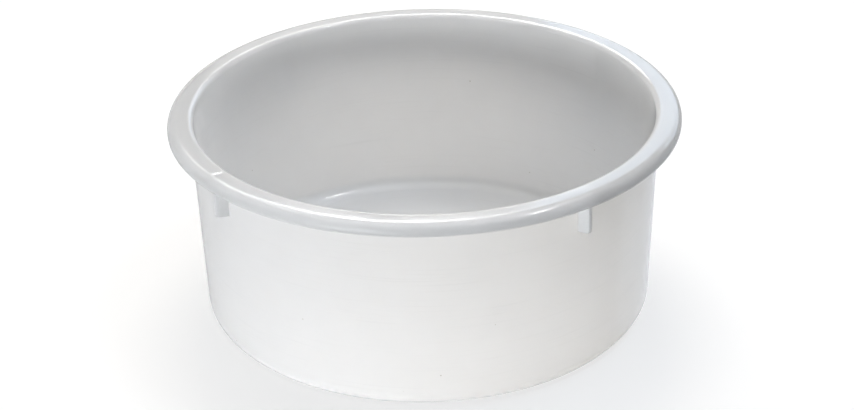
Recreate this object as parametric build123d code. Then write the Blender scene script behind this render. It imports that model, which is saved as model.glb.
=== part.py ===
"""Round dough tub: one thin-walled plastic moulding, drawn as its named regions.

Millimetres and degrees, +Z up. The origin is the centre of the standing ring, level with the table.
"""
import os
from math import atan2, cos, degrees, radians, sin, tan

from build123d import *

# Overall sizes
HEIGHT = 166.0  # table to rim top
MOUTH_DIAMETER = 360.0  # inside of the wall, level with the rim top
RIM_WIDTH = 20.0  # mouth to the outside of the rolled lip
DRAFT = 1.65  # lean of the wall away from the axis, degrees

# Moulded thicknesses
WALL = 3.2  # side wall, corner and rim
FLOOR = 3.2  # floor panel

# Base
FOOT_HEIGHT = 1.2  # the floor panel clears the table by this much
FOOT_WIDTH = 9.0  # flat standing ring
INNER_CORNER = 10.8  # rounding between the floor and the inside of the wall

# Rim
MOUTH_ROUND = 4.0  # rounding where the inside of the wall meets the rim top
ROOT_ROUND = 2.0  # fillet between the wall and the underside of the rim
LIP_INNER_ROUND = 4.3  # rounding inside the rolled lip
LIP_STRAIGHT = 0.3  # upright stretch of the lip below its rounding

# Gussets that brace the rim against the wall
GUSSET_COUNT = 4
GUSSET_FIRST_ANGLE = 37.0  # from +X, degrees
GUSSET_THICKNESS = 3.2
GUSSET_DROP = 36.8  # rim top to the gusset's lower edge, at the wall
GUSSET_RISE = 3.0  # the lower edge climbs this much on its way out
GUSSET_SETBACK = 5.8  # outside of the lip in to the gusset's outer edge
GUSSET_ROUND = 2.0  # lower outer corner of a gusset
GUSSET_BITE = 0.5  # a gusset's blank runs this far into its neighbours before it is cut back

COINCIDENT = 1e-6  # points closer than this are one point

# Levels and radii that follow from the sizes above
LEAN = radians(DRAFT)
RIM_RADIUS = MOUTH_DIAMETER / 2 + RIM_WIDTH
FLOOR_TOP = FOOT_HEIGHT + FLOOR
OUTER_CORNER = INNER_CORNER + WALL
CORNER_TOP = max(OUTER_CORNER, FLOOR_TOP + INNER_CORNER)
FLANGE_UNDERSIDE = HEIGHT - WALL
WALL_TOP = HEIGHT - max(MOUTH_ROUND, WALL + ROOT_ROUND)
LIP_ROUND = LIP_INNER_ROUND + WALL
LIP_RADIUS = RIM_RADIUS - LIP_ROUND


def inner_radius(level):
    """Radius of the inside of the side wall at a height."""
    return MOUTH_DIAMETER / 2 - (HEIGHT - level) * tan(LEAN)


def outer_radius(level):
    """Radius of the outside of the side wall at a height."""
    return inner_radius(level) + WALL / cos(LEAN)


def point(radius, level):
    """Point of a section, in the half plane through +X."""
    return Vector(radius, 0, level)


def arc(centre, radius, first, last):
    """Arc of a section about a centre, between two angles in degrees."""
    angles = (first, (first + last) / 2, last)
    spots = [centre + point(radius * cos(radians(a)), radius * sin(radians(a))) for a in angles]
    return ThreePointArc(*spots)


def corner_arc(wall_radius, level, radius):
    """Arc from a level surface outwards and up to the leaning wall."""
    centre_radius = wall_radius(level) - radius * (1 - sin(LEAN)) / cos(LEAN)
    return arc(point(centre_radius, level + radius), radius, -90, -DRAFT)


def edge_arc(wall_radius, level, radius):
    """Arc from the leaning wall up and outwards to a level surface."""
    centre_radius = wall_radius(level - radius) + radius / cos(LEAN)
    return arc(point(centre_radius, level - radius), radius, 180 - DRAFT, 90)


def chain(*items):
    """Closed outline through points and arcs in order, with straight lines between them."""
    edges = []
    for item, following in zip(items, items[1:] + items[:1]):
        end = item if isinstance(item, Vector) else item @ 1
        start = following if isinstance(following, Vector) else following @ 0
        if not isinstance(item, Vector):
            edges.append(item)
        if (start - end).length > COINCIDENT:
            edges.append(Line(end, start))
    return edges


def ring(*items):
    """Solid of revolution about the tub's axis, from a section's points and arcs."""
    return revolve(make_face(chain(*items)), Axis.Z)


def reverse(edge):
    """The same arc, run the other way."""
    return ThreePointArc(edge @ 1, edge @ 0.5, edge @ 0)


# Arcs that the base needs in more than one place
OUTER_ARC = corner_arc(outer_radius, 0, OUTER_CORNER)
INNER_ARC = corner_arc(inner_radius, FLOOR_TOP, INNER_CORNER)
FOOT_INNER_RADIUS = (OUTER_ARC @ 0).X - FOOT_WIDTH
FLOOR_RADIUS = FOOT_INNER_RADIUS - FOOT_HEIGHT


def floor_panel():
    """Flat disc inside the standing ring, held clear of the table."""
    return ring(
        point(0, FOOT_HEIGHT),
        point(FLOOR_RADIUS, FOOT_HEIGHT),
        point(FLOOR_RADIUS, FLOOR_TOP),
        point(0, FLOOR_TOP),
    )


def base_corner():
    """Standing ring and the rounded turn from the floor up into the wall."""
    return ring(
        point(FLOOR_RADIUS, FOOT_HEIGHT),
        point(FOOT_INNER_RADIUS, 0),
        OUTER_ARC,
        point(outer_radius(CORNER_TOP), CORNER_TOP),
        point(inner_radius(CORNER_TOP), CORNER_TOP),
        reverse(INNER_ARC),
        point(FLOOR_RADIUS, FLOOR_TOP),
    )


def side_wall():
    """Leaning wall between the base corner and the rim."""
    return ring(
        point(inner_radius(CORNER_TOP), CORNER_TOP),
        point(outer_radius(CORNER_TOP), CORNER_TOP),
        point(outer_radius(WALL_TOP), WALL_TOP),
        point(inner_radius(WALL_TOP), WALL_TOP),
    )


def rim_flange():
    """Flat rim top, rounded into the mouth and filleted to the wall below."""
    return ring(
        point(inner_radius(WALL_TOP), WALL_TOP),
        edge_arc(inner_radius, HEIGHT, MOUTH_ROUND),
        point(LIP_RADIUS, HEIGHT),
        point(LIP_RADIUS, FLANGE_UNDERSIDE),
        reverse(edge_arc(outer_radius, FLANGE_UNDERSIDE, ROOT_ROUND)),
        point(outer_radius(WALL_TOP), WALL_TOP),
    )


def rolled_lip():
    """Outer edge of the rim, rolled over and down to a rounded end."""
    centre = point(LIP_RADIUS, HEIGHT - LIP_ROUND)
    end_centre = point(RIM_RADIUS - WALL / 2, HEIGHT - LIP_ROUND - LIP_STRAIGHT)
    return ring(
        arc(centre, LIP_ROUND, 90, 0),
        arc(end_centre, WALL / 2, 0, -180),
        arc(centre, LIP_INNER_ROUND, 0, 90),
    )


def rim_gusset(angle, *trimmed_by):
    """Upright radial plate under the rim, cut to the wall and rim regions that it braces."""
    lower = HEIGHT - GUSSET_DROP
    upper = FLANGE_UNDERSIDE + GUSSET_BITE
    edge = RIM_RADIUS - GUSSET_SETBACK
    start = outer_radius(lower) - GUSSET_BITE
    climb = atan2(GUSSET_RISE, edge - start)
    round_radius = edge - GUSSET_ROUND
    round_level = lower + (round_radius - start) * tan(climb) + GUSSET_ROUND / cos(climb)
    outline = chain(
        point(start, lower),
        arc(point(round_radius, round_level), GUSSET_ROUND, degrees(climb) - 90, 0),
        point(edge, upper),
        point(outer_radius(upper) - GUSSET_BITE, upper),
    )
    plate = extrude(make_face(outline), GUSSET_THICKNESS / 2, both=True)
    return Rot(0, 0, angle) * (plate - list(trimmed_by))


def build():
    """All regions of the moulding by name."""
    wall = side_wall()
    flange = rim_flange()
    lip = rolled_lip()
    nodes = {
        "floor_panel": floor_panel(),
        "base_corner": base_corner(),
        "side_wall": wall,
        "rim_flange": flange,
        "rolled_lip": lip,
    }
    for number in range(GUSSET_COUNT):
        angle = GUSSET_FIRST_ANGLE + number * 360 / GUSSET_COUNT
        nodes[f"rim_gusset_{number + 1}"] = rim_gusset(angle, wall, flange, lip)
    return nodes


os.makedirs("parts", exist_ok=True)
for name, shape in build().items():
    export_step(shape, f"parts/{name}.step")
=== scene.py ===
"""The dough tub as it looks: one white polyethylene moulding on a pale floor, under soft studio light."""

import logging
import math
from collections.abc import Callable
from dataclasses import dataclass
from enum import Enum
from functools import partial

import bmesh
import bpy
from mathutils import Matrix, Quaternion, Vector


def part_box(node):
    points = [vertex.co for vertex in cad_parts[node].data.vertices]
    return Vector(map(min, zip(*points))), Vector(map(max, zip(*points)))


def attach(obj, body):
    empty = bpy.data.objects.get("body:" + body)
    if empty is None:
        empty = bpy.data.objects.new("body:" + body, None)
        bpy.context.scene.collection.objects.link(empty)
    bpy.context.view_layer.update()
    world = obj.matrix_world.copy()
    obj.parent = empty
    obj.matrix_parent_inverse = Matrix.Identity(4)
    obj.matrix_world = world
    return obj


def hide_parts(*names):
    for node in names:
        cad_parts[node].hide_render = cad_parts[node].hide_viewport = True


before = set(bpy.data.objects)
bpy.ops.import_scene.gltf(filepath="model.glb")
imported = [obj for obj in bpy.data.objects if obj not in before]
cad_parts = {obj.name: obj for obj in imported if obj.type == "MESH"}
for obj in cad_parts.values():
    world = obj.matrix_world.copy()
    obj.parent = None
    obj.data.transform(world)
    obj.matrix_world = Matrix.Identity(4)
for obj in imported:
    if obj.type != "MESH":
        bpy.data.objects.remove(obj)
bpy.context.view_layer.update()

MM = 0.001
BODY = "root"
WHITE = "#FFFFFF"

# Places of the colour sockets on a Mix node, whose names also stand for other kinds of value
MIX_FIRST, MIX_SECOND, MIX_RESULT = 6, 7, 2

# Points of the mesh closer than this are merged
MERGE = 0.01 * MM

# How far a point may be from a line or surface of the mesh and still count as on it, as a length, and as a
# share of the angle between two lines of the turned mesh
SLACK = 0.02 * MM
COLUMN_SLACK = 0.05

log = logging.getLogger("dough_tub")


class Part(Enum):
    """What of a mesh is chosen in edit mode."""

    CORNERS = "VERT"
    EDGES = "EDGE"
    FACES = "FACE"


class LightUse(Enum):
    """What a light is for."""

    BODY_AND_GLOSS = "lights the tub and is mirrored in it"
    BODY = "only lights the tub, as a source too broad to be made out in a mirror does"
    GLOSS = "is only mirrored in the tub, as a white card is"


def linear(code: str) -> tuple[float, float, float, float]:
    """Turn a colour into the linear values that shaders take.

    Args:
        code: sRGB colour as "#RRGGBB".

    Returns:
        Linear red, green and blue, and an alpha of 1.
    """
    shares = [int(code[place:place + 2], 16) / 255 for place in (1, 3, 5)]
    low, knee, offset, power = 12.92, 0.04045, 0.055, 2.4
    return (*(s / low if s <= knee else ((s + offset) / (1 + offset)) ** power for s in shares), 1.0)


def add_node(
    tree: bpy.types.NodeTree, kind: str, inputs: dict[str | int, object] | None = None, **settings: object
) -> bpy.types.Node:
    """Add one shader node with its settings, values and links.

    Args:
        tree: Node tree that gets the node.
        kind: Blender's name for the node's type.
        inputs: By socket, a value to set, or another node's output to link.
        settings: The node's own fields.

    Returns:
        The new node.
    """
    node = tree.nodes.new(kind)
    for name, value in settings.items():
        setattr(node, name, value)
    for name, value in (inputs or {}).items():
        if isinstance(value, bpy.types.NodeSocket):
            tree.links.new(value, node.inputs[name])
        else:
            node.inputs[name].default_value = value
    return node


def empty_material(name: str) -> bpy.types.Material:
    """Make a material that has no nodes yet.

    Args:
        name: What the material is.

    Returns:
        The new material.
    """
    material = bpy.data.materials.new(name)
    material.use_nodes = True
    material.node_tree.nodes.clear()
    return material


def choose(piece: bpy.types.Object, part: Part, test: Callable[[Vector], bool]) -> None:
    """Select by place, in edit mode, leaving nothing else selected.

    Args:
        piece: Mesh object in edit mode.
        part: What is selected.
        test: Says of a point whether it is wanted. For an edge or a face, the point is its middle.
    """
    bpy.ops.mesh.select_all(action="DESELECT")
    bpy.ops.mesh.select_mode(type=part.value)
    mesh = bmesh.from_edit_mesh(piece.data)
    if part is Part.CORNERS:
        found = [corner for corner in mesh.verts if test(corner.co)]
    elif part is Part.EDGES:
        found = [edge for edge in mesh.edges if test((edge.verts[0].co + edge.verts[1].co) / 2)]
    else:
        found = [face for face in mesh.faces if test(face.calc_center_median())]
    for item in found:
        item.select_set(True)
    bmesh.update_edit_mesh(piece.data)


def close_surface() -> None:
    """Merge what lies together in the mesh that is edited, and turn all its faces outwards."""
    bpy.ops.mesh.select_all(action="SELECT")
    bpy.ops.mesh.remove_doubles(threshold=MERGE)
    bpy.ops.mesh.normals_make_consistent(inside=False)


def from_axis(place: Vector) -> float:
    """Distance of a point from the tub's axis."""
    return math.hypot(place.x, place.y)


def node_radius(node: str) -> float:
    """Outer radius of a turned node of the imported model."""
    low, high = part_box(node)
    return min(high.x, high.y, -low.x, -low.y)


@dataclass(frozen=True)
class Turn:
    """One corner of a turned section.

    Attributes:
        radius: Distance from the axis.
        level: Height above the table.
        rounding: Radius of the arc that takes the corner off, or 0 for a sharp one.
    """

    radius: float
    level: float
    rounding: float = 0.0


def rounded(corners: list[Turn], flatness: float) -> list[tuple[float, float]]:
    """Trace a section with its corners rounded.

    Args:
        corners: The section's corners in order, open at both ends.
        flatness: How far the line between two points of an arc may leave the arc.

    Returns:
        Radius and level of each point on the way.
    """
    path: list[tuple[float, float]] = []
    for place, corner in enumerate(corners):
        here = Vector((corner.radius, corner.level))
        if not corner.rounding:
            path.append(tuple(here))
            continue
        before, after = corners[place - 1], corners[place + 1]
        way_in = (here - Vector((before.radius, before.level))).normalized()
        way_out = (Vector((after.radius, after.level)) - here).normalized()
        turn = way_in.angle_signed(way_out)
        inward = Vector((way_in.y, -way_in.x)) * math.copysign(1.0, turn)
        setback = corner.rounding * math.tan(abs(turn) / 2)
        steps = math.ceil(abs(turn) / (2 * math.acos(1 - flatness / corner.rounding)))
        for step in range(steps + 1):
            ahead = abs(turn) * step / steps
            along = setback - corner.rounding * math.sin(ahead)
            aside = corner.rounding * (1 - math.cos(ahead))
            path.append(tuple(here - way_in * along + inward * aside))
    return path


@dataclass(frozen=True)
class Ring:
    """A ring of space round the tub's axis.

    Attributes:
        inner: Its inner radius.
        outer: Its outer radius.
        top: Level that it ends at.
    """

    inner: float
    outer: float
    top: float


@dataclass(frozen=True)
class Bead:
    """A round bead of space that runs round the tub's axis and fades out at its edge.

    Attributes:
        radius: From the axis to its middle.
        level: Height of its middle.
        reach: From its middle to its edge.
        core: Share of that way up to which it is full.
    """

    radius: float
    level: float
    reach: float
    core: float = 0.6


@dataclass(frozen=True)
class SkinPlace:
    """Where a point of the tub's skin is, as outputs in a finish's node tree.

    Attributes:
        point: Object coordinates.
        reach: Distance from the axis.
        level: Height above the table.
        heading: Direction away from the axis, of length 1.
    """

    point: bpy.types.NodeSocket
    reach: bpy.types.NodeSocket
    level: bpy.types.NodeSocket
    heading: bpy.types.NodeSocket

    @classmethod
    def read(cls, tree: bpy.types.NodeTree) -> "SkinPlace":
        """Add the nodes that work the place out.

        Args:
            tree: The finish's node tree.

        Returns:
            The place's outputs.
        """
        point = add_node(tree, "ShaderNodeTexCoord").outputs["Object"]
        level = add_node(tree, "ShaderNodeSeparateXYZ", {"Vector": point})
        flat = add_node(tree, "ShaderNodeVectorMath", {0: point, 1: (1.0, 1.0, 0.0)}, operation="MULTIPLY")
        reach = add_node(tree, "ShaderNodeVectorMath", {0: flat.outputs[0]}, operation="LENGTH")
        heading = add_node(tree, "ShaderNodeVectorMath", {0: flat.outputs[0]}, operation="NORMALIZE")
        return cls(point, reach.outputs["Value"], level.outputs["Z"], heading.outputs[0])


@dataclass(frozen=True)
class Polyethylene:
    """White high-density polyethylene, injection moulded.

    It is a waxy, milky plastic: light goes into it and is scattered, so a lit wall glows on its shaded side.
    The polished mould gave it a smooth, slightly wavy skin that mirrors lamps softly. Use has left faint
    scuffs round the tub, and the plastic holds a few dark specks.

    Attributes:
        colour: White of the plastic.
        shade: The same where the skin is dull.
        speck: Colour of a speck in the plastic.
        index: Refractive index.
        gloss: Roughness where the skin is smoothest.
        dull: Roughness where it is most scuffed.
        light_path: How far light spreads in a thick block of the plastic. The tub's thin wall lets about two
            thirds of the light through.
        milky_path: The same in gussets and base corner, where the plastic cooled slowly and is milkier.
        patch: Width of the patches where the skin is duller.
        patch_detail: Finer layers in the noise that spreads the patches.
        patch_onset: Levels of that noise between which a patch grows to its full dullness.
        patch_share: Share of the wear that a full patch makes up.
        wave: Length of the skin's waves.
        wave_height: Height of those waves.
        wave_detail: Finer layers in their noise.
        grain: Width of the mould's grain, drawn about three times as coarse as it is, so that it shows.
        grain_height: Height of that grain.
        grain_detail: Finer layers in its noise.
        scuff: Width of a scuff line and the gap beside it.
        scuff_length: Length of such a line along the tub's turn, in radians.
        scuff_onset: Levels of the scuffs' noise between which a line grows to its full dullness.
        scuff_share: Share of the wear that a full line makes up.
        speck_spacing: Distance between specks in the plastic.
        speck_size: Radius of a speck.
        speck_core: Share of that radius up to which a speck has its full colour.
    """

    colour: str = "#F5F5F4"
    shade: str = "#F0F0EF"
    speck: str = "#C6C2B8"
    index: float = 1.54
    gloss: float = 0.08
    dull: float = 0.17
    light_path: float = 40.0 * MM
    milky_path: float = 8.0 * MM
    patch: float = 38.0 * MM
    patch_detail: float = 3.0
    patch_onset: tuple[float, float] = (0.35, 0.75)
    patch_share: float = 0.4
    wave: float = 55.0 * MM
    wave_height: float = 0.05 * MM
    wave_detail: float = 1.0
    grain: float = 2.4 * MM
    grain_height: float = 0.004 * MM
    grain_detail: float = 2.0
    scuff: float = 1.6 * MM
    scuff_length: float = 0.45
    scuff_onset: tuple[float, float] = (0.58, 0.75)
    scuff_share: float = 0.6
    speck_spacing: float = 27.0 * MM
    speck_size: float = 0.7 * MM
    speck_core: float = 0.5

    def material(self, gussets: Ring, corner: Bead) -> bpy.types.Material:
        """Make the finish as a node material.

        Args:
            gussets: Ring of space that holds the gussets.
            corner: Bead of space in the corner between floor and wall.

        Returns:
            The material, named for what it is.
        """
        skin = empty_material("moulded_white_polyethylene")
        tree = skin.node_tree
        place = SkinPlace.read(tree)
        worn = self.wear(tree, place)
        roughness = add_node(tree, "ShaderNodeMapRange", {
            "Value": worn, "To Min": self.gloss, "To Max": self.dull,
        })
        shader = add_node(tree, "ShaderNodeBsdfPrincipled", {
            "Base Color": self.tint(tree, place, worn),
            "Roughness": roughness.outputs["Result"],
            "Normal": self.relief(tree, place),
            "IOR": self.index,
            "Subsurface Weight": 1.0,
            "Subsurface Scale": self.depth(tree, place, gussets, corner),
            "Subsurface Radius": (1.0, 1.0, 1.0),
        })
        add_node(tree, "ShaderNodeOutputMaterial", {"Surface": shader.outputs["BSDF"]})
        return skin

    def depth(
        self, tree: bpy.types.NodeTree, place: SkinPlace, gussets: Ring, corner: Bead
    ) -> bpy.types.NodeSocket:
        """Say how far light spreads: less far in the gussets and the base corner than elsewhere.

        Args:
            tree: The finish's node tree.
            place: Where the point is.
            gussets: Ring of space that holds the gussets.
            corner: Bead of space in the corner between floor and wall.

        Returns:
            The length that light spreads.
        """
        # Compare gives 1 where the reach is within half the ring's width of the ring's middle
        middle, half = (gussets.outer + gussets.inner) / 2, (gussets.outer - gussets.inner) / 2
        beside = add_node(tree, "ShaderNodeMath", {0: place.reach, 1: middle, 2: half}, operation="COMPARE")
        below = add_node(tree, "ShaderNodeMath", {0: place.level, 1: gussets.top}, operation="LESS_THAN")
        within = add_node(
            tree, "ShaderNodeMath", {0: beside.outputs[0], 1: below.outputs[0]}, operation="MULTIPLY"
        )
        section = add_node(tree, "ShaderNodeCombineXYZ", {"X": place.reach, "Z": place.level})
        bead_middle = (corner.radius, 0.0, corner.level)
        away = add_node(
            tree, "ShaderNodeVectorMath", {0: section.outputs[0], 1: bead_middle}, operation="DISTANCE"
        )
        bead = add_node(tree, "ShaderNodeMapRange", {
            "Value": away.outputs["Value"],
            "From Min": corner.reach * corner.core,
            "From Max": corner.reach,
            "To Min": 1.0,
            "To Max": 0.0,
        })
        milky = add_node(
            tree, "ShaderNodeMath", {0: within.outputs[0], 1: bead.outputs[0]}, operation="MAXIMUM"
        )
        path = add_node(tree, "ShaderNodeMapRange", {
            "Value": milky.outputs[0], "To Min": self.light_path, "To Max": self.milky_path,
        })
        return path.outputs["Result"]

    def wear(self, tree: bpy.types.NodeTree, place: SkinPlace) -> bpy.types.NodeSocket:
        """Spread dull patches and thin scuff lines that run round the tub's axis.

        Args:
            tree: The finish's node tree.
            place: Where the point is.

        Returns:
            How worn the skin is, from 0 to 1.
        """
        patches = add_node(tree, "ShaderNodeTexNoise", {
            "Vector": place.point, "Scale": 1 / self.patch, "Detail": self.patch_detail,
        })
        # The noise changes slowly round the axis and fast outwards and upwards, which draws it out into lines
        across = add_node(tree, "ShaderNodeMath", {0: place.reach, 1: 1 / self.scuff}, operation="MULTIPLY")
        outward = add_node(tree, "ShaderNodeCombineXYZ", {"Z": across.outputs[0]})
        turn = 1 / self.scuff_length
        path = add_node(
            tree, "ShaderNodeVectorMath", {0: place.heading, 1: (turn, turn, 0.0), 2: outward.outputs[0]},
            operation="MULTIPLY_ADD",
        )
        height = add_node(tree, "ShaderNodeMath", {0: place.level, 1: 1 / self.scuff}, operation="MULTIPLY")
        lines = add_node(
            tree, "ShaderNodeTexNoise", {"Vector": path.outputs[0], "W": height.outputs[0], "Scale": 1.0},
            noise_dimensions="4D",
        )
        thin = add_node(tree, "ShaderNodeMapRange", {
            "Value": lines.outputs["Fac"],
            "From Min": self.scuff_onset[0],
            "From Max": self.scuff_onset[1],
            "To Max": self.scuff_share,
        })
        broad = add_node(tree, "ShaderNodeMapRange", {
            "Value": patches.outputs["Fac"],
            "From Min": self.patch_onset[0],
            "From Max": self.patch_onset[1],
            "To Max": self.patch_share,
        })
        both = add_node(tree, "ShaderNodeMath", {0: thin.outputs[0], 1: broad.outputs[0]}, operation="ADD")
        return both.outputs[0]

    def tint(
        self, tree: bpy.types.NodeTree, place: SkinPlace, worn: bpy.types.NodeSocket
    ) -> bpy.types.NodeSocket:
        """Colour the plastic: two near whites by wear, and a few specks.

        Args:
            tree: The finish's node tree.
            place: Where the point is.
            worn: How worn the skin is, from 0 to 1.

        Returns:
            The colour.
        """
        white = add_node(
            tree, "ShaderNodeMix", {0: worn, MIX_FIRST: linear(self.colour), MIX_SECOND: linear(self.shade)},
            data_type="RGBA",
        )
        cells = add_node(tree, "ShaderNodeTexVoronoi", {
            "Vector": place.point, "Scale": 1 / self.speck_spacing,
        })
        speck_edge = self.speck_size / self.speck_spacing
        inside = add_node(tree, "ShaderNodeMapRange", {
            "Value": cells.outputs["Distance"],
            "From Min": self.speck_core * speck_edge,
            "From Max": speck_edge,
            "To Min": 1.0,
            "To Max": 0.0,
        })
        specked = add_node(
            tree, "ShaderNodeMix",
            {0: inside.outputs[0], MIX_FIRST: white.outputs[MIX_RESULT], MIX_SECOND: linear(self.speck)},
            data_type="RGBA",
        )
        return specked.outputs[MIX_RESULT]

    def relief(self, tree: bpy.types.NodeTree, place: SkinPlace) -> bpy.types.NodeSocket:
        """Give the skin its long waves and the mould's fine grain.

        Args:
            tree: The finish's node tree.
            place: Where the point is.

        Returns:
            The surface's direction.
        """
        waves = add_node(tree, "ShaderNodeTexNoise", {
            "Vector": place.point, "Scale": 1 / self.wave, "Detail": self.wave_detail,
        })
        wavy = add_node(tree, "ShaderNodeBump", {
            "Distance": self.wave_height, "Height": waves.outputs["Fac"],
        })
        grains = add_node(tree, "ShaderNodeTexNoise", {
            "Vector": place.point, "Scale": 1 / self.grain, "Detail": self.grain_detail,
        })
        grained = add_node(tree, "ShaderNodeBump", {
            "Distance": self.grain_height,
            "Height": grains.outputs["Fac"],
            "Normal": wavy.outputs["Normal"],
        })
        return grained.outputs["Normal"]


@dataclass(frozen=True)
class FloorPaper:
    """White paper off a wide roll, with no coating.

    It is matt all over, and it gives off some light by itself, which keeps the tub's shadow on it pale.

    Attributes:
        colour: Colour that it gives back, greyer than paper's because of the light that it gives off.
        glow: Strength of that light.
        roughness: Of its surface.
    """

    colour: str = "#9C9C9C"
    glow: float = 0.66
    roughness: float = 0.9

    def material(self) -> bpy.types.Material:
        """Make the finish as a node material.

        Returns:
            The material, named for what it is.
        """
        paper = empty_material("matt_white_paper")
        shader = add_node(paper.node_tree, "ShaderNodeBsdfPrincipled", {
            "Base Color": linear(self.colour),
            "Roughness": self.roughness,
            "Emission Color": linear(WHITE),
            "Emission Strength": self.glow,
        })
        add_node(paper.node_tree, "ShaderNodeOutputMaterial", {"Surface": shader.outputs["BSDF"]})
        return paper


@dataclass
class TubMoulding:
    """The whole tub in one moulding: floor, base corner, wall, rim, rolled lip and the gussets under the rim.

    Attributes:
        rim_radius: Outermost radius, at the lip.
        lip_start: Radius where the flat rim begins to roll over.
        height: Level of the rim's top.
        lip_end: Level of the lip's lower edge.
        wall: Thickness of wall, floor, rim and lip.
        wall_foot: Outer radius and level where the wall meets the rounded base corner.
        wall_head: Outer radius and level where the wall meets the rim.
        floor_lift: Gap between floor panel and table.
        floor_edge: Radius of the floor panel's underside.
        gusset_foot: Level of the gussets' lower edge at the wall.
        gusset_angle: Angle of the first gusset round the axis, in radians.
        gusset_count: Gussets, evenly round the tub.
        gusset_rise: How far the lower edge climbs on its way out.
        gusset_setback: From the lip's outside to the gussets' outer edge.
        gusset_corner: Rounding of the gussets' lower outer corner.
        gusset_edge: Rounding of the edges of the gussets' sides.
        gusset_fillet: Fillet where the gussets' sides meet wall, rim and lip.
        mouth_rounding: Rounding of the mouth's edge.
        root_rounding: Fillet where the wall meets the underside of the rim.
        base_rounding: Outer rounding between wall and table.
        step_rounding: Rounding of the small steps underneath.
        rim_crown: How far the edges of the rim's top fall away from level, in radians.
        sink_depth: Depth of the sink marks at the gussets.
        sink_shape: Share of that depth at a gusset's middle and at each line of the mesh beside it.
        gate_radius: Radius of the hollow round the moulding gate, in the middle underneath.
        gate_depth: Depth of that hollow.
        milk_offset: From floor and wall to the middle of the milky plastic in the base corner, as a share of
            the corner's inner rounding.
        milk_reach: From there to the milky plastic's edge, as a share of the same.
        columns: Lines of the mesh round the axis. A gusset is as thick as two of the gaps between them.
        flatness: How far the mesh may leave a true arc.
        fillet_steps: Faces across a gusset's fillets and its rounded corner.
        edge_steps: Faces across a gusset's rounded edges.
        smooth_angle: Bend up to which two faces are shaded as one surface, in radians.
    """

    rim_radius: float
    lip_start: float
    height: float
    lip_end: float
    wall: float
    wall_foot: tuple[float, float]
    wall_head: tuple[float, float]
    floor_lift: float
    floor_edge: float
    gusset_foot: float
    gusset_angle: float
    gusset_count: int = 4
    gusset_rise: float = 2.9 * MM
    gusset_setback: float = 5.8 * MM
    gusset_corner: float = 2.0 * MM
    gusset_edge: float = 0.45 * MM
    gusset_fillet: float = 1.3 * MM
    mouth_rounding: float = 4.0 * MM
    root_rounding: float = 2.0 * MM
    base_rounding: float = 14.0 * MM
    step_rounding: float = 0.3 * MM
    rim_crown: float = math.radians(0.6)
    sink_depth: float = 0.125 * MM
    sink_shape: tuple[float, ...] = (1.0, 0.6, 0.15)
    gate_radius: float = 9.0 * MM
    gate_depth: float = 0.5 * MM
    milk_offset: float = 0.67
    milk_reach: float = 0.83
    columns: int = 736
    flatness: float = 0.015 * MM
    fillet_steps: int = 4
    edge_steps: int = 3
    smooth_angle: float = math.radians(35)

    @classmethod
    def from_frame(cls) -> "TubMoulding":
        """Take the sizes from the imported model.

        Returns:
            The moulding, not built yet.
        """
        floor_low, floor_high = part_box("floor_panel")
        lip_low, lip_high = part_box("rolled_lip")
        gusset_low, gusset_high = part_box("rim_gusset_1")
        gusset_middle = (gusset_low + gusset_high) / 2
        return cls(
            rim_radius=node_radius("rolled_lip"),
            lip_start=node_radius("rim_flange"),
            height=lip_high.z,
            lip_end=lip_low.z,
            wall=floor_high.z - floor_low.z,
            wall_foot=(node_radius("base_corner"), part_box("base_corner")[1].z),
            wall_head=(node_radius("side_wall"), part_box("side_wall")[1].z),
            floor_lift=floor_low.z,
            floor_edge=node_radius("floor_panel"),
            gusset_foot=gusset_low.z,
            gusset_angle=math.atan2(gusset_middle.y, gusset_middle.x),
        )

    @property
    def lean(self) -> float:
        """How much the wall's radius grows with each unit of height."""
        return (self.wall_head[0] - self.wall_foot[0]) / (self.wall_head[1] - self.wall_foot[1])

    @property
    def floor_top(self) -> float:
        """Level of the floor panel's upper side."""
        return self.floor_lift + self.wall

    @property
    def corner_rounding(self) -> float:
        """Rounding between the floor and the inside of the wall."""
        return self.base_rounding - self.wall

    @property
    def rim_underside(self) -> float:
        """Level of the flat rim's underside."""
        return self.height - self.wall

    @property
    def gusset_reach(self) -> float:
        """Radius of the gussets' outer edge."""
        return self.rim_radius - self.gusset_setback

    @property
    def gusset_head(self) -> float:
        """Level where the gussets' outer edge meets the inside of the lip."""
        return self.roll_level + math.sqrt(self.roll ** 2 - (self.gusset_reach - self.lip_start) ** 2)

    @property
    def roll(self) -> float:
        """Radius of the lip's rounding on its inside."""
        return self.rim_radius - self.lip_start - self.wall

    @property
    def roll_level(self) -> float:
        """Level of the middle of the lip's rounding."""
        return self.rim_underside - self.roll

    @property
    def sink_foot(self) -> float:
        """Level where the sink marks behind the gussets are deepest at their lower end."""
        return self.gusset_foot + self.wall

    @property
    def sink_head(self) -> float:
        """Level where the sink marks behind the gussets are deepest at their upper end."""
        return self.rim_underside - self.wall

    @property
    def column_angle(self) -> float:
        """Angle between two neighbouring lines of the turned mesh."""
        return math.tau / self.columns

    @property
    def angle_slack(self) -> float:
        """Angle that a point may be off a line of the turned mesh and still count as on it."""
        return self.column_angle * COLUMN_SLACK

    def outside(self, level: float) -> float:
        """Outer radius of the wall at a level."""
        return self.wall_foot[0] + self.lean * (level - self.wall_foot[1])

    def inside(self, level: float) -> float:
        """Inner radius of the wall at a level."""
        return self.outside(level) - self.wall * math.hypot(1.0, self.lean)

    def section(self) -> list[tuple[float, float]]:
        """Trace the moulding's section from the middle of the floor, over the rim, to the middle underneath.

        Returns:
            Radius and level of each point.
        """
        under = self.rim_underside
        lip_inside = self.rim_radius - self.wall
        gate_top = self.floor_lift + self.gate_depth
        # The lip's inner rounding is traced in two arcs, which meet where the gussets' outer edge ends
        roll_split = math.acos((self.gusset_reach - self.lip_start) / self.roll)
        roll_side = self.roll * math.tan(roll_split / 2)
        roll_top = self.roll * math.tan((math.pi / 2 - roll_split) / 2)
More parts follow.
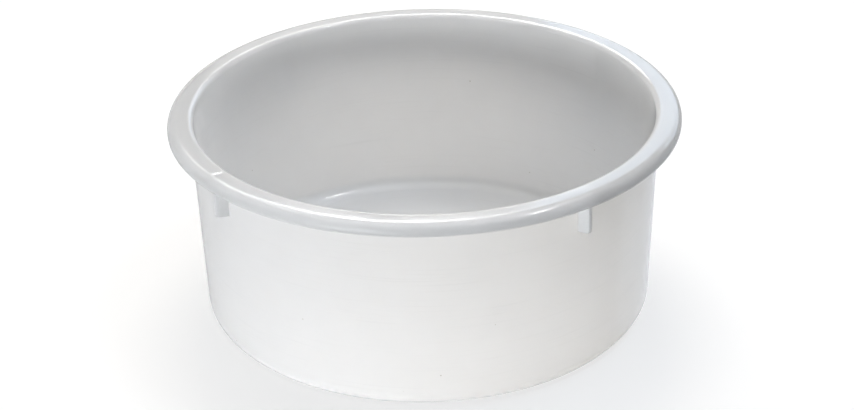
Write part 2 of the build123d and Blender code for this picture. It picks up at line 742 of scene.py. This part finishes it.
        # The rim's top is one shallow arc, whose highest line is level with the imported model's rim
        flat_inside = self.inside(self.height) + self.mouth_rounding
        flat_half = (self.lip_start - flat_inside) / 2
        flat_middle = flat_inside + flat_half
        crown_rounding = flat_half / math.tan(self.rim_crown)
        crown_top = self.height + flat_half * math.tan(self.rim_crown / 2)
        mouth_fall = (flat_middle - self.inside(self.height)) * math.tan(self.rim_crown)
        lip_fall = (self.rim_radius - flat_middle) * math.tan(self.rim_crown)
        corners = [
            Turn(0.0, self.floor_top),
            Turn(self.floor_edge / 2, self.floor_top),
            Turn(self.inside(self.floor_top), self.floor_top, self.corner_rounding),
            Turn(self.inside(self.height / 2), self.height / 2),
            Turn(self.inside(self.gusset_foot), self.gusset_foot),
            Turn(self.inside(self.sink_foot), self.sink_foot),
            Turn(self.inside(self.sink_head), self.sink_head),
            Turn(self.inside(self.height), crown_top - mouth_fall, self.mouth_rounding),
            Turn(flat_middle, crown_top, crown_rounding),
            Turn(self.rim_radius, crown_top - lip_fall, self.rim_radius - self.lip_start),
            Turn(self.rim_radius, self.lip_end, self.wall / 2),
            Turn(lip_inside, self.lip_end, self.wall / 2),
            Turn(lip_inside, self.roll_level + roll_side, self.roll),
            Turn(self.lip_start + roll_top, under, self.roll),
            Turn(self.outside(under), under, self.root_rounding),
            Turn(self.outside(self.gusset_foot), self.gusset_foot),
            Turn(self.outside(self.height / 2), self.height / 2),
            Turn(self.outside(0.0), 0.0, self.base_rounding),
            Turn(self.floor_edge + self.floor_lift, 0.0, self.step_rounding),
            Turn(self.floor_edge, self.floor_lift, self.step_rounding),
            Turn(self.floor_edge / 2, self.floor_lift),
            Turn(self.gate_radius + self.gate_depth, self.floor_lift, self.step_rounding),
            Turn(self.gate_radius, gate_top, self.step_rounding),
            Turn(0.0, gate_top),
        ]
        return rounded(corners, self.flatness)

    def build(self) -> bpy.types.Object:
        """Model the moulding.

        Returns:
            The finished mesh object, at the origin.
        """
        piece = self.turn_body()
        self.raise_gussets(piece)
        self.soften_gussets(piece)
        self.press_sink_marks(piece)
        bpy.ops.object.mode_set(mode="OBJECT")
        bpy.ops.object.shade_smooth_by_angle(angle=self.smooth_angle)
        flat_faces = piece.modifiers.new("flat_faces", "WEIGHTED_NORMAL")
        flat_faces.keep_sharp = True
        bpy.ops.object.modifier_apply(modifier=flat_faces.name)
        return piece

    def turn_body(self) -> bpy.types.Object:
        """Draw the section through a gusset's middle and turn it about the axis.

        Returns:
            The turned mesh object, in edit mode.
        """
        bpy.ops.object.select_all(action="DESELECT")
        bpy.ops.mesh.primitive_plane_add(size=self.wall, location=(0.0, 0.0, 0.0))
        piece = bpy.context.object
        piece.name = piece.data.name = "tub_moulding"
        bpy.ops.object.mode_set(mode="EDIT")
        bpy.ops.mesh.select_all(action="SELECT")
        bpy.ops.mesh.merge(type="CENTER")
        outward = Vector((math.cos(self.gusset_angle), math.sin(self.gusset_angle), 0.0))
        points = [outward * radius + Vector((0.0, 0.0, level)) for radius, level in self.section()]
        bpy.ops.transform.translate(value=points[0])
        for start, end in zip(points, points[1:]):
            bpy.ops.mesh.extrude_vertices_move(TRANSFORM_OT_translate={"value": end - start})
        bpy.ops.object.mode_set(mode="OBJECT")
        turned = piece.modifiers.new("turned", "SCREW")
        turned.axis = "Z"
        turned.angle = math.tau
        turned.steps = turned.render_steps = self.columns
        bpy.ops.object.modifier_apply(modifier=turned.name)
        bpy.ops.object.mode_set(mode="EDIT")
        close_surface()
        return piece

    def off_gusset(self, place: Vector) -> float:
        """Work out how far round the axis a point is from the middle of the nearest gusset.

        Args:
            place: Point on the tub.

        Returns:
            The angle between them, in radians.
        """
        spacing = math.tau / self.gusset_count
        angle = math.atan2(place.y, place.x) - self.gusset_angle
        return abs((angle + spacing / 2) % spacing - spacing / 2)

    def beside_gussets(self, place: Vector) -> bool:
        """Say whether a point is no further out than the gussets, and between their foot and the rim."""
        in_height = self.gusset_foot - SLACK < place.z < self.rim_underside + SLACK
        return in_height and from_axis(place) < self.gusset_reach + SLACK

    def on_footprint(self, place: Vector) -> bool:
        """Say whether a point is where a gusset is to stand, on the wall's outside or the rim's underside.

        Args:
            place: Point on the turned body.

        Returns:
            Whether it is on the footprint of any gusset.
        """
        off_wall = from_axis(place) - self.outside(place.z)
        in_width = self.off_gusset(place) < self.column_angle + self.angle_slack
        return self.beside_gussets(place) and off_wall > -SLACK and in_width

    def on_foot(self, place: Vector) -> bool:
        """Say whether a point is on the lower edge of a gusset's footprint.

        Args:
            place: Point on the turned body.

        Returns:
            Whether it is on the lower edge of any gusset's footprint.
        """
        at_foot = abs(place.z - self.gusset_foot) < SLACK
        at_wall = from_axis(place) < self.outside(self.gusset_foot) + SLACK
        return at_foot and at_wall and self.on_footprint(place)

    def on_corner(self, place: Vector) -> bool:
        """Say whether a point is on a gusset's lower outer corner."""
        at_reach = abs(from_axis(place) - self.gusset_reach) < SLACK
        return at_reach and abs(place.z - self.gusset_foot - self.gusset_rise) < SLACK

    def raise_gussets(self, piece: bpy.types.Object) -> None:
        """Raise the thin plates that brace the rim from the outside of the wall.

        Args:
            piece: The turned mesh object, in edit mode.
        """
        # The footprint is cut open, its lower edge drawn out and then up to the lip, and the sides filled
        choose(piece, Part.FACES, self.on_footprint)
        bpy.ops.mesh.delete(type="FACE")
        choose(piece, Part.EDGES, self.on_foot)
        bpy.ops.mesh.extrude_region_move()
        spread = self.gusset_reach / self.outside(self.gusset_foot)
        bpy.ops.transform.resize(value=(spread, spread, 1.0), center_override=(0.0, 0.0, 0.0))
        bpy.ops.transform.translate(value=(0.0, 0.0, self.gusset_rise))
        upright = (0.0, 0.0, self.gusset_head - self.gusset_foot - self.gusset_rise)
        bpy.ops.mesh.extrude_region_move(TRANSFORM_OT_translate={"value": upright})
        bpy.ops.mesh.select_all(action="SELECT")
        bpy.ops.mesh.remove_doubles(threshold=MERGE)
        bpy.ops.mesh.select_all(action="SELECT")
        bpy.ops.mesh.fill_holes(sides=0)
        close_surface()
        choose(piece, Part.EDGES, self.on_corner)
        bpy.ops.mesh.bevel(offset=self.gusset_corner, segments=self.fillet_steps, affect="EDGES")

    def on_side(self, place: Vector) -> bool:
        """Say whether a point is on one of a gusset's two sides."""
        off_side = abs(self.off_gusset(place) - self.column_angle)
        return self.beside_gussets(place) and off_side < self.angle_slack

    def on_joint(self, place: Vector) -> bool:
        """Say whether a point is where a gusset's side meets wall, rim or lip.

        Args:
            place: Point on the tub with its gussets.

        Returns:
            Whether it is on such a joint of any gusset.
        """
        radius = from_axis(place)
        off_wall = radius - self.outside(place.z)
        below_rim = self.rim_underside - place.z
        in_root = max(off_wall, below_rim) < self.root_rounding
        off_roll = math.hypot(radius - self.lip_start, place.z - self.roll_level) - self.roll
        in_lip = radius > self.lip_start and abs(off_roll) < SLACK
        on_line = off_wall < SLACK or below_rim < SLACK or in_root or in_lip
        return self.on_side(place) and off_wall > -SLACK and on_line

    def on_free_edge(self, place: Vector) -> bool:
        """Say whether a point of a gusset's side is clear of the fillets at wall and rim."""
        off_wall = from_axis(place) > self.outside(place.z) + self.gusset_fillet
        return self.on_side(place) and off_wall and place.z < self.rim_underside - self.gusset_fillet

    def soften_gussets(self, piece: bpy.types.Object) -> None:
        """Fill the corners where the gussets' two sides meet wall and rim, and round the sides' free edges.

        Args:
            piece: The mesh object with its gussets, in edit mode.
        """
        choose(piece, Part.EDGES, self.on_joint)
        bpy.ops.mesh.bevel(offset=self.gusset_fillet, segments=self.fillet_steps, affect="EDGES")
        choose(piece, Part.EDGES, self.on_free_edge)
        bpy.ops.mesh.bevel(offset=self.gusset_edge, segments=self.edge_steps, affect="EDGES")

    def on_line(self, step: int, place: Vector) -> bool:
        """Say whether a point is on the mesh line that is so many steps beside a gusset's middle."""
        return abs(self.off_gusset(place) - step * self.column_angle) < self.angle_slack

    def on_sunk_rim(self, step: int, place: Vector) -> bool:
        """Say whether a point is on the rim's top, on a line of the mesh over a gusset.

        Args:
            step: Lines between it and the gusset's middle.
            place: Point on the tub.

        Returns:
            Whether it is on the flat of the rim, on that line.
        """
        over_rim = place.z > self.height - self.wall / 2
        flat_start = self.inside(self.height) + self.wall
        flat_end = self.lip_start + self.wall / 2
        return over_rim and self.on_line(step, place) and flat_start < from_axis(place) < flat_end

    def on_sunk_wall(self, step: int, place: Vector) -> bool:
        """Say whether a point is on the inside of the wall, on a line of the mesh behind a gusset.

        Args:
            step: Lines between it and the gusset's middle.
            place: Point on the tub.

        Returns:
            Whether it is between the levels where the sink mark is deepest, on that line.
        """
        behind = self.sink_foot - SLACK < place.z < self.sink_head + SLACK
        off_wall = from_axis(place) - self.inside(place.z)
        return behind and self.on_line(step, place) and abs(off_wall) < SLACK

    def press_sink_marks(self, piece: bpy.types.Object) -> None:
        """Press the shallow hollows that cooling leaves where a gusset makes the plastic thick.

        They cross the rim over each gusset and run down the inside of the wall behind it.

        Args:
            piece: The mesh object with its gussets, in edit mode.
        """
        for step, share in enumerate(self.sink_shape):
            choose(piece, Part.CORNERS, partial(self.on_sunk_rim, step))
            bpy.ops.transform.translate(value=(0.0, 0.0, -self.sink_depth * share))
            choose(piece, Part.CORNERS, partial(self.on_sunk_wall, step))
            widen = 1.0 + self.sink_depth * share / self.inside(self.sink_foot)
            bpy.ops.transform.resize(value=(widen, widen, 1.0), center_override=(0.0, 0.0, 0.0))

    def dress(self, piece: bpy.types.Object, finish: Polyethylene) -> None:
        """Give the moulding its finish and its place in the model.

        Args:
            piece: The finished mesh object.
            finish: What the tub is moulded from.
        """
        gussets = Ring(
            inner=self.outside(self.rim_underside) + self.gusset_fillet / 2,
            outer=self.gusset_reach + self.gusset_edge,
            top=self.rim_underside,
        )
        corner = Bead(
            radius=self.inside(self.floor_top) - self.corner_rounding * self.milk_offset,
            level=self.floor_top + self.corner_rounding * self.milk_offset,
            reach=self.corner_rounding * self.milk_reach,
        )
        piece.data.materials.append(finish.material(gussets, corner))
        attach(piece, BODY)
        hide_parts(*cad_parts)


@dataclass(frozen=True)
class SoftLight:
    """A studio soft box or white card that faces the tub.

    Attributes:
        name: What the light does.
        bearing: Where it stands round the tub, in degrees: 0 behind it, 90 at the right, 180 at the camera's
            side.
        elevation: How high it stands, in degrees.
        distance: From the tub to its face.
        size: Width and height of its face.
        power: Watts.
        colour: Colour of its light.
        use: What it is for.
    """

    name: str
    bearing: float
    elevation: float
    distance: float
    size: tuple[float, float]
    power: float
    colour: str = WHITE
    use: LightUse = LightUse.BODY_AND_GLOSS

    def add(self, target: Vector) -> None:
        """Hang the light and turn it to the tub.

        Args:
            target: Point that it faces.
        """
        lamp = bpy.data.lights.new(self.name, "AREA")
        lamp.shape = "RECTANGLE"
        lamp.size, lamp.size_y = self.size
        lamp.energy = self.power
        lamp.color = linear(self.colour)[:3]
        light = bpy.data.objects.new(self.name, lamp)
        light.visible_diffuse = self.use is not LightUse.GLOSS
        light.visible_glossy = self.use is not LightUse.BODY
        bpy.context.scene.collection.objects.link(light)
        bearing, elevation = math.radians(self.bearing), math.radians(self.elevation)
        level = math.cos(elevation)
        outward = Vector((math.sin(bearing) * level, math.cos(bearing) * level, math.sin(elevation)))
        light.location = target + outward * self.distance
        light.rotation_mode = "QUATERNION"
        light.rotation_quaternion = (-outward).to_track_quat("-Z", "Y")


@dataclass(frozen=True)
class Studio:
    """Floor, light and camera round the tub.

    Attributes:
        lights: Soft boxes and cards round the tub.
        floor_size: Side of the floor.
        table_light: Light that reaches the tub from below, as from a wide white table. It comes from the
            surroundings, and the floor itself lights nothing.
        table_lean: Shares by which that light is stronger from the right and from behind than straight below.
            Below 0 means weaker.
        table_colour: Colour of that light.
        lens: Focal length of the camera, in millimetres.
        sensor: Width of its sensor, in millimetres.
        distance: From the tub's origin to the camera.
        elevation: Of the camera above the table, in degrees.
        aim: Point in the middle of the picture.
        light_aim: Height on the tub's axis that the lights face.
        roll: Turn of the camera about its own axis, in degrees.
    """

    lights: tuple[SoftLight, ...]
    floor_size: float = 16.0
    table_light: float = 0.43
    table_lean: tuple[float, float] = (-0.10, 0.45)
    table_colour: str = "#FDFEFF"
    lens: float = 80.1
    sensor: float = 36.0
    distance: float = 1.5618
    elevation: float = 30.492
    aim: tuple[float, float, float] = (0.0004, 0.0, 0.0760)
    light_aim: float = 0.1
    roll: float = 1.339

    def lay_floor(self, finish: FloorPaper) -> bpy.types.Object:
        """Lay the pale floor that the tub stands on, which only the camera sees.

        Args:
            finish: What the floor is covered with.

        Returns:
            The floor object.
        """
        bpy.ops.object.select_all(action="DESELECT")
        bpy.ops.mesh.primitive_plane_add(size=self.floor_size, location=(0.0, 0.0, 0.0))
        floor = bpy.context.object
        floor.name = "studio_floor"
        floor.data.materials.append(finish.material())
        floor.visible_diffuse = floor.visible_glossy = False
        floor.visible_transmission = floor.visible_shadow = False
        return floor

    def light_scene(self) -> None:
        """Hang the soft boxes and cards, and set the light that comes from below."""
        for light in self.lights:
            light.add(Vector((0.0, 0.0, self.light_aim)))
        world = bpy.data.worlds.new("studio")
        world.use_nodes = True
        tree = world.node_tree
        tree.nodes.clear()
        # Only the lower half of the surroundings shines, evenly but for its lean
        heading = add_node(tree, "ShaderNodeTexCoord").outputs["Generated"]
        level = add_node(tree, "ShaderNodeSeparateXYZ", {"Vector": heading}).outputs["Z"]
        below = add_node(tree, "ShaderNodeMath", {0: level, 1: 0.0}, operation="LESS_THAN")
        leans = (*self.table_lean, 0.0)
        lean = add_node(tree, "ShaderNodeVectorMath", {0: heading, 1: leans}, operation="DOT_PRODUCT")
        leaning = add_node(
            tree, "ShaderNodeMath", {0: lean.outputs["Value"], 1: self.table_light, 2: self.table_light},
            operation="MULTIPLY_ADD",
        )
        strength = add_node(
            tree, "ShaderNodeMath", {0: below.outputs[0], 1: leaning.outputs[0]}, operation="MULTIPLY"
        )
        table = add_node(tree, "ShaderNodeBackground", {
            "Color": linear(self.table_colour), "Strength": strength.outputs[0],
        })
        add_node(tree, "ShaderNodeOutputWorld", {"Surface": table.outputs["Background"]})
        bpy.context.scene.world = world

    def place_camera(self) -> None:
        """Set the camera at the photograph's viewing angle."""
        angle = math.radians(self.elevation)
        camera = bpy.data.objects.new("camera", bpy.data.cameras.new("camera"))
        bpy.context.scene.collection.objects.link(camera)
        camera.data.lens = self.lens
        camera.data.sensor_width = self.sensor
        camera.location = (0.0, -self.distance * math.cos(angle), self.distance * math.sin(angle))
        camera.rotation_mode = "QUATERNION"
        level = (Vector(self.aim) - camera.location).to_track_quat("-Z", "Y")
        camera.rotation_quaternion = level @ Quaternion((0.0, 0.0, 1.0), math.radians(-self.roll))
        bpy.context.scene.camera = camera


# Each light's bearing and elevation in degrees, its distance and its face's size in metres, and its watts.
# The floor isn't mirrored in the tub, so the last card stands in for its brightest part, behind at the right.
LIGHTS = (
    SoftLight("ceiling_panel", 0.0, 90.0, 2.5, (3.0, 3.0), 37.0),
    SoftLight("back_softbox", 0.0, 65.0, 2.5, (1.0, 1.0), 31.0, "#FFF6EA", LightUse.BODY),
    SoftLight("back_left_softbox", 330.0, 52.0, 2.5, (1.0, 1.0), 8.0),
    SoftLight("right_window", 84.0, 64.0, 2.5, (1.0, 1.0), 16.0, "#D9E9FF", LightUse.BODY),
    SoftLight("left_front_bounce", 212.0, 2.2, 2.5, (1.3, 0.36), 37.5, "#F6FAFF", LightUse.BODY),
    SoftLight("left_front_card", 212.0, 1.0, 2.5, (1.4, 0.50), 8.0, WHITE, LightUse.GLOSS),
    SoftLight("small_lamp", 99.5, 61.5, 2.5, (0.30, 0.30), 10.5, WHITE, LightUse.GLOSS),
    SoftLight("back_left_card", -6.2, 42.0, 6.0, (0.64, 2.42), 66.0, WHITE, LightUse.GLOSS),
    SoftLight("far_left_card", -20.0, 37.0, 6.0, (1.90, 1.70), 15.0, WHITE, LightUse.GLOSS),
    SoftLight("back_right_card", 1.8, 42.0, 6.0, (0.64, 2.42), 43.0, WHITE, LightUse.GLOSS),
    SoftLight("window_card", 15.5, 20.6, 6.0, (2.08, 2.44), 34.0, "#D8EBFF", LightUse.GLOSS),
    SoftLight("window_side_card", 38.0, 18.0, 6.0, (2.5, 2.4), 33.0, "#DDF0FF", LightUse.GLOSS),
    SoftLight("horizon_card", -1.9, 20.85, 6.0, (1.3, 1.2), 4.0, WHITE, LightUse.GLOSS),
    SoftLight("low_left_card", -22.0, 7.0, 6.0, (2.0, 1.2), 3.6, WHITE, LightUse.GLOSS),
    SoftLight("table_sheen", 33.0, -29.0, 2.5, (3.2, 0.9), 3.0, "#E4EEFF", LightUse.GLOSS),
)


def main() -> None:
    """Build the tub and the studio round it."""
    logging.basicConfig(level=logging.INFO, format="%(name)s: %(message)s")
    bpy.context.scene.view_settings.view_transform = "Standard"
    tub = TubMoulding.from_frame()
    piece = tub.build()
    tub.dress(piece, Polyethylene())
    log.info("%s: %d corners, %d faces", piece.name, len(piece.data.vertices), len(piece.data.polygons))
    studio = Studio(LIGHTS)
    floor = studio.lay_floor(FloorPaper())
    studio.light_scene()
    studio.place_camera()
    log.info("%s laid, %d lights hung", floor.name, len(studio.lights))


if __name__ == "__main__":
    main()
